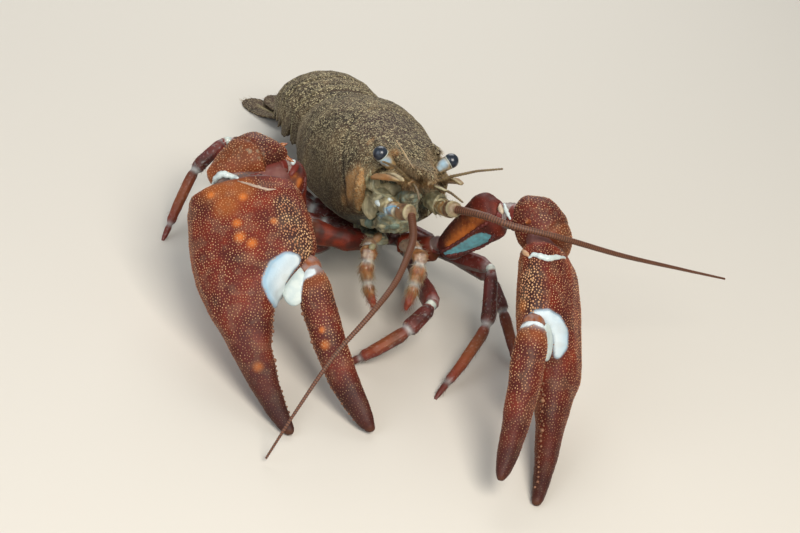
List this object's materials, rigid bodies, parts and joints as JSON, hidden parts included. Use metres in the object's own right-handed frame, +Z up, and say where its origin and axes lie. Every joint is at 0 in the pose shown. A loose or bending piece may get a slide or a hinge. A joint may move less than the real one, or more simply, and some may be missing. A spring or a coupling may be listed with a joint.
{
  "type": "signal crayfish",
  "caption": "Large male signal crayfish standing on the ground with both claws set down in front, still life-size model.",
  "frame": {"origin": "on the ground plane, below the centre of the bounding box", "axes": "+Z up, -Y to the head, +X to the animal's left"},
  "size_m": [0.1392, 0.1866, 0.0519],
  "materials": {
    "shell_brown": "brown-grey shell dusted with fine silt",
    "claw_red": "satin red-brown shell with pale granules",
    "leg_red": "satin dark red shell",
    "feeler_red": "satin red-brown rings",
    "face_tan": "satin tan and bluish shell and skin",
    "cornea_black": "glossy blue-black"
  },
  "bodies": {
    "root": {"carapace": "shell_brown", "sternum": "face_tan", "mouth": "face_tan", "eyestalk_left": "face_tan", "cornea_left": "cornea_black", "antennule_left": "face_tan", "antennal_scale_left": "face_tan", "antenna_peduncle_left": "face_tan", "antenna_left_1": "feeler_red", "antenna_left_2": "feeler_red", "antenna_left_3": "feeler_red", "maxilliped_left": "face_tan", "claw_ischium_left": "leg_red", "claw_merus_left": "leg_red", "claw_carpus_left": "claw_red", "claw_palm_left": "claw_red", "claw_dactyl_left": "claw_red", "leg_left_2_upper": "leg_red", "leg_left_2_lower": "leg_red", "leg_left_3_upper": "leg_red", "leg_left_3_lower": "leg_red", "leg_left_4_upper": "leg_red", "leg_left_4_lower": "leg_red", "leg_left_5_upper": "leg_red", "leg_left_5_lower": "leg_red", "eyestalk_right": "face_tan", "cornea_right": "cornea_black", "antennule_right": "face_tan", "antennal_scale_right": "face_tan", "antenna_peduncle_right": "face_tan", "antenna_right_1": "feeler_red", "antenna_right_2": "feeler_red", "antenna_right_3": "feeler_red", "maxilliped_right": "face_tan", "claw_ischium_right": "leg_red", "claw_merus_right": "leg_red", "claw_carpus_right": "claw_red", "claw_palm_right": "claw_red", "claw_dactyl_right": "claw_red", "leg_right_2_upper": "leg_red", "leg_right_2_lower": "leg_red", "leg_right_3_upper": "leg_red", "leg_right_3_lower": "leg_red", "leg_right_4_upper": "leg_red", "leg_right_4_lower": "leg_red", "leg_right_5_upper": "leg_red", "leg_right_5_lower": "leg_red", "abdomen_1": "shell_brown", "abdomen_2": "shell_brown", "abdomen_3": "shell_brown", "abdomen_4": "shell_brown", "abdomen_5": "shell_brown", "abdomen_6": "shell_brown", "telson": "shell_brown", "endopod_left": "shell_brown", "exopod_left": "shell_brown", "endopod_right": "shell_brown", "exopod_right": "shell_brown"}
  },
  "joints": []
}
